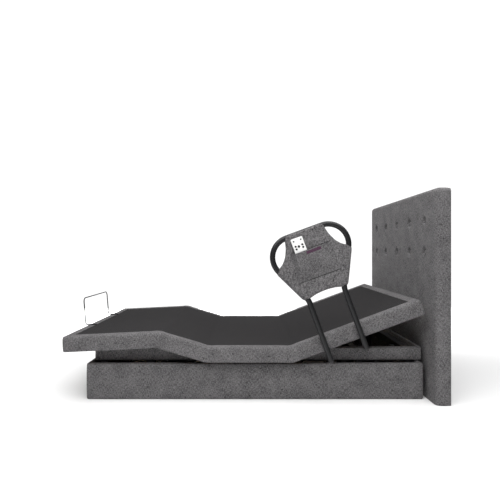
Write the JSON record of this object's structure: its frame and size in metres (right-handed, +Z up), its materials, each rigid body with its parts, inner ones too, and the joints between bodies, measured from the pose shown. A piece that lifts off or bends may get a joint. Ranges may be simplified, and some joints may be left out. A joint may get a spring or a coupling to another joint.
{
  "type": "adjustable bed base",
  "caption": "Upholstered adjustable bed base on a stepped plinth, with tufted headboard, raised back and knee sections, mattress retainer, and assist rail with organiser and handset.",
  "frame": {"origin": "underside of the centre support foot, on the floor at the middle of the outer base", "axes": "+X along the bed to the head end, -Y towards the side with the assist rail, +Z up"},
  "size_m": [2.1291, 1.1763, 1.175],
  "materials": {
    "upholstery": "heathered woven upholstery cloth over foam",
    "dark_fabric": "dark non-slip woven cloth",
    "tag_fabric": "small woven tag, plain",
    "plywood": "sealed plywood",
    "frame_steel": "black powder coat",
    "black_steel": "satin black powder coat",
    "zinc_steel": "zinc plated",
    "black_plastic": "fine texture",
    "grey_plastic": "fine texture",
    "white_nylon": "smooth",
    "white_plastic": "satin white moulding",
    "button_rubber": "matte",
    "rubber": "matte"
  },
  "bodies": {
    "base": {"outer_base_panels": "upholstery", "inner_plinth_sides": "upholstery", "inner_plinth_ends": "upholstery", "chassis_side_rails": "frame_steel", "chassis_cross_members": "frame_steel", "chassis_legs": "frame_steel", "chassis_feet": "black_plastic", "chassis_brackets": "frame_steel", "deck_rests": "rubber", "seat_board": "plywood", "seat_top_panel": "dark_fabric", "seat_skirts": "upholstery", "seat_frame": "frame_steel", "seat_hinge_leaves": "zinc_steel", "base_pins": "zinc_steel", "headboard": "upholstery", "headboard_buttons": "upholstery", "headboard_spacers": "plywood", "control_box": "black_plastic", "power_supply": "black_plastic", "head_actuator": "grey_plastic", "leg_actuator": "grey_plastic"},
    "back_section": {"back_board": "plywood", "back_top_panel": "dark_fabric", "back_skirt": "upholstery", "back_frame": "frame_steel", "back_hinge_leaves": "zinc_steel", "rail_tube": "black_steel", "rail_plastic_parts": "black_plastic", "rail_bolts": "zinc_steel", "organiser_pad": "upholstery", "organiser_pocket": "upholstery", "organiser_tag": "tag_fabric"},
    "thigh_section": {"thigh_board": "plywood", "thigh_top_panel": "dark_fabric", "thigh_skirts": "upholstery", "thigh_frame": "frame_steel", "thigh_hinge_leaves": "zinc_steel"},
    "calf_section": {"calf_board": "plywood", "calf_top_panel": "dark_fabric", "calf_skirt": "upholstery", "calf_frame": "frame_steel", "calf_hinge_leaves": "zinc_steel", "mattress_retainer": "black_steel"},
    "head_lift": {"head_lift": "frame_steel", "head_lift_shoes": "white_nylon"},
    "leg_lift": {"leg_lift": "frame_steel", "leg_lift_shoes": "white_nylon"},
    "head_rod": {"head_actuator_rod": "zinc_steel"},
    "leg_rod": {"leg_actuator_rod": "zinc_steel"},
    "calf_links": {"calf_links": "frame_steel"},
    "handset": {"handset_case": "white_plastic"},
    "button_top_left": {"handset_button_top_left": "button_rubber"},
    "button_top_right": {"handset_button_top_right": "button_rubber"},
    "button_centre": {"handset_button_centre": "button_rubber"},
    "button_left_upper": {"handset_button_left_upper": "button_rubber"},
    "button_left_lower": {"handset_button_left_lower": "button_rubber"},
    "button_right_upper": {"handset_button_right_upper": "button_rubber"},
    "button_right_lower": {"handset_button_right_lower": "button_rubber"}
  },
  "joints": [
    {"name": "back_tilt", "type": "hinge", "parent": "base", "child": "back_section", "pos_m": [0.198, 0, 0.29], "axis": [0, -1, 0], "range_deg": [-20.2, 44.8]},
    {"name": "thigh_tilt", "type": "hinge", "parent": "base", "child": "thigh_section", "pos_m": [-0.258, 0, 0.29], "axis": [0, 1, 0], "range_deg": [-16.4, 18.6]},
    {"name": "calf_fold", "type": "hinge", "parent": "thigh_section", "child": "calf_section", "pos_m": [-0.53236, 0, 0.37075], "axis": [0, 1, 0], "range_deg": [-21.69, 19.13]},
    {"name": "head_lift_turn", "type": "hinge", "parent": "base", "child": "head_lift", "pos_m": [0.048, 0, 0.19], "axis": [0, -1, 0], "range_deg": [-12.91, 28.6]},
    {"name": "leg_lift_turn", "type": "hinge", "parent": "base", "child": "leg_lift", "pos_m": [-0.108, 0, 0.19], "axis": [0, 1, 0], "range_deg": [-8.17, 9.26]},
    {"name": "head_rod_slide", "type": "slide", "parent": "base", "child": "head_rod", "axis": [1, 0, 0], "range_m": [-0.02808, 0.06202]},
    {"name": "leg_rod_slide", "type": "slide", "parent": "base", "child": "leg_rod", "axis": [-1, 0, 0], "range_m": [-0.01737, 0.01967]},
    {"name": "calf_link_swing", "type": "hinge", "parent": "base", "child": "calf_links", "pos_m": [-0.648, 0, 0.232], "axis": [0, 1, 0], "range_deg": [-20.52, 23.27]},
    {"name": "handset_slide", "type": "slide", "parent": "back_section", "child": "handset", "axis": [-0.3453, 0, 0.9385], "range_m": [0, 0.16]},
    {"name": "button_top_left_press", "type": "slide", "parent": "handset", "child": "button_top_left", "axis": [0, 1, 0], "range_m": [0, 0.001], "stiffness_N_per_m": 900, "springref_m": -0.0006},
    {"name": "button_top_right_press", "type": "slide", "parent": "handset", "child": "button_top_right", "axis": [0, 1, 0], "range_m": [0, 0.001], "stiffness_N_per_m": 900, "springref_m": -0.0006},
    {"name": "button_centre_press", "type": "slide", "parent": "handset", "child": "button_centre", "axis": [0, 1, 0], "range_m": [0, 0.001], "stiffness_N_per_m": 900, "springref_m": -0.0006},
    {"name": "button_left_upper_press", "type": "slide", "parent": "handset", "child": "button_left_upper", "axis": [0, 1, 0], "range_m": [0, 0.001], "stiffness_N_per_m": 900, "springref_m": -0.0006},
    {"name": "button_left_lower_press", "type": "slide", "parent": "handset", "child": "button_left_lower", "axis": [0, 1, 0], "range_m": [0, 0.001], "stiffness_N_per_m": 900, "springref_m": -0.0006},
    {"name": "button_right_upper_press", "type": "slide", "parent": "handset", "child": "button_right_upper", "axis": [0, 1, 0], "range_m": [0, 0.001], "stiffness_N_per_m": 900, "springref_m": -0.0006},
    {"name": "button_right_lower_press", "type": "slide", "parent": "handset", "child": "button_right_lower", "axis": [0, 1, 0], "range_m": [0, 0.001], "stiffness_N_per_m": 900, "springref_m": -0.0006}
  ],
  "couplings": [
    {"joint": "calf_fold", "follows": "thigh_tilt", "ratio": -1.165},
    {"joint": "head_lift_turn", "follows": "back_tilt", "ratio": 0.638},
    {"joint": "leg_lift_turn", "follows": "thigh_tilt", "ratio": 0.497},
    {"joint": "head_rod_slide", "follows": "back_tilt", "m_per_rad": 0.079067},
    {"joint": "leg_rod_slide", "follows": "thigh_tilt", "m_per_rad": 0.059984},
    {"joint": "calf_link_swing", "follows": "thigh_tilt", "ratio": 1.25}
  ]
}
